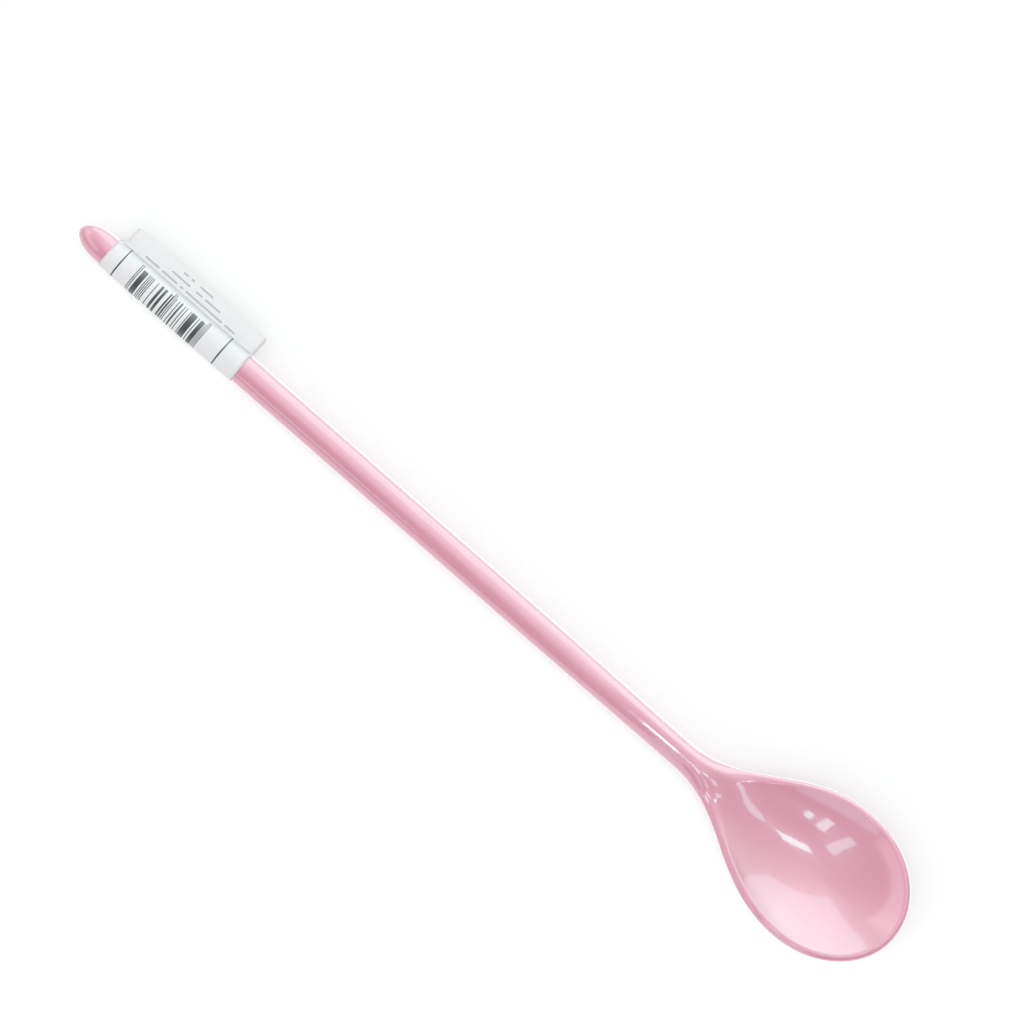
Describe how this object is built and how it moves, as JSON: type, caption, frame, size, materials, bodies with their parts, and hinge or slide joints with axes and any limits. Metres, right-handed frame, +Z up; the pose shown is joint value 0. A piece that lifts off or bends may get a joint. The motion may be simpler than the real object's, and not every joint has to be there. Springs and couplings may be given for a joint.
{
  "type": "long-handled spoon",
  "caption": "Long-handled moulded spoon with a round handle and an oval bowl, and a self-adhesive wrap label folded into a small flag at the handle's end.",
  "frame": {"origin": "on the small flat under the bowl, below its deepest place, on the surface that the spoon lies on", "axes": "+X from the handle's end to the nose of the bowl, +Y to the side of the label's flag, +Z up out of the bowl"},
  "size_m": [0.2999, 0.0446, 0.0105],
  "materials": {
    "moulding": "pastel pink melamine, polished by the mould, glossy",
    "label_sheet": "white label stock with a slight sheen, printed with plain bars and rules",
    "adhesive": "clear, slightly yellow pressure-sensitive coat"
  },
  "bodies": {
    "spoon": {"spoon_body": "moulding", "label_band": "label_sheet", "band_adhesive": "adhesive"},
    "flag": {"flag_front_ply": "label_sheet", "flag_rear_ply": "label_sheet", "flag_adhesive": "adhesive"}
  },
  "joints": [
    {"name": "flag_bend", "type": "hinge", "parent": "spoon", "child": "flag", "pos_m": [-0.23931, 0.00568, 0.0048], "axis": [1, 0, 0.0031], "range_deg": [-60, 60], "stiffness_Nm_per_rad": 0.0002}
  ]
}
